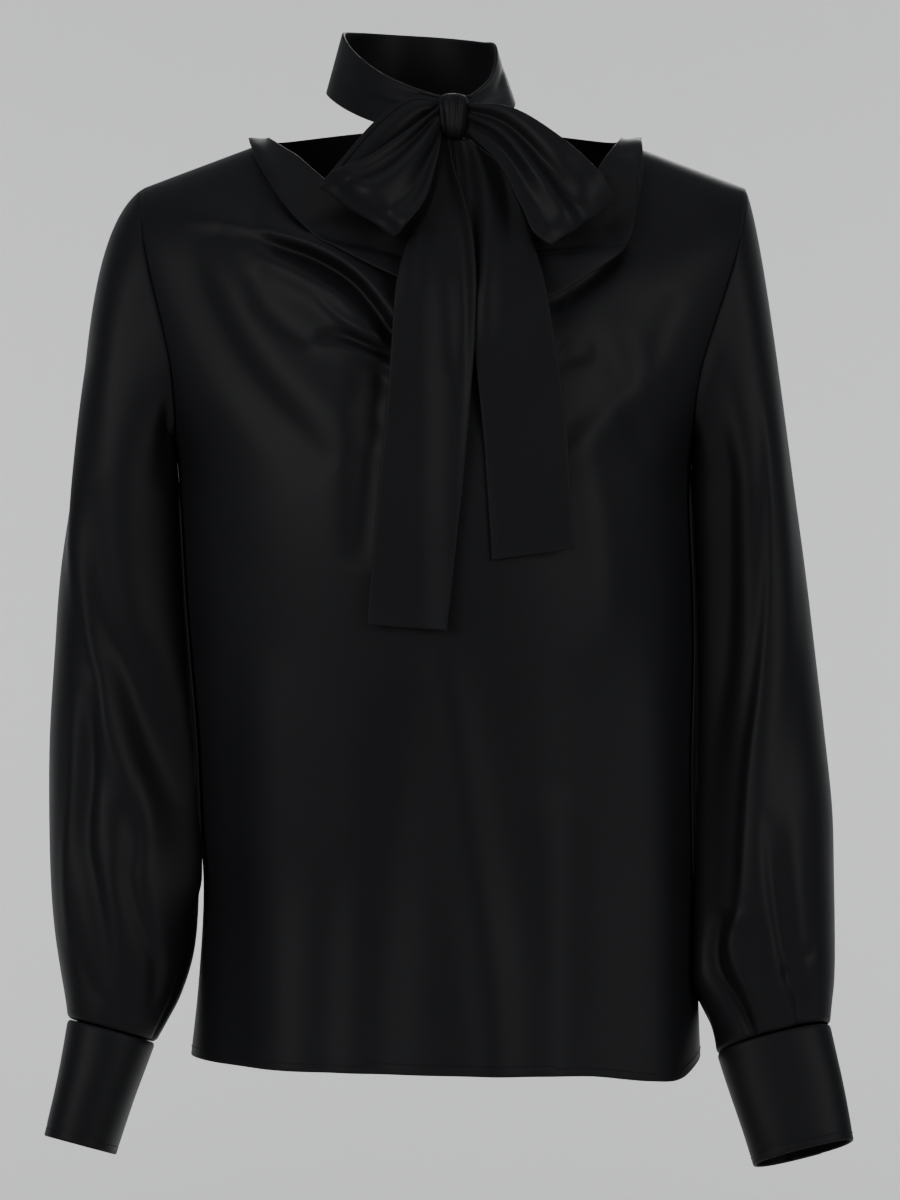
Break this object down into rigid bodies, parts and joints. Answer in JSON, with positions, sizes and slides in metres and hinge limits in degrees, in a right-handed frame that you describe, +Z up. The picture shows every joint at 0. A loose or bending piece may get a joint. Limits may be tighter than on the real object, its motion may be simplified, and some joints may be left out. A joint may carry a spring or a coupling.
{
  "type": "long-sleeved blouse with a draped neckline and a neck tie",
  "caption": "Black satin blouse in its worn shape: draped collar, bishop sleeves in deep cuffs, and a tie knotted in a bow at the neck.",
  "frame": {"origin": "between the shoulders, level with the two points where the neckline crosses them; the wearer's shoulders hold the blouse there", "axes": "+Z up, front faces -Y, the wearer's right side is -X"},
  "size_m": [0.5347, 0.2321, 0.762],
  "materials": {
    "satin": "near-black satin with a broad soft sheen"
  },
  "bodies": {
    "root": {"front": "satin", "back": "satin", "collar": "satin", "tie_band": "satin", "tie_knot": "satin", "bow_loop_right": "satin", "bow_loop_left": "satin", "tie_tail_right": "satin", "tie_tail_left": "satin", "sleeve_right": "satin", "sleeve_left": "satin", "cuff_right": "satin", "cuff_left": "satin", "cuff_button_right_1": "satin", "cuff_button_right_2": "satin", "cuff_button_left_1": "satin", "cuff_button_left_2": "satin"}
  },
  "joints": []
}
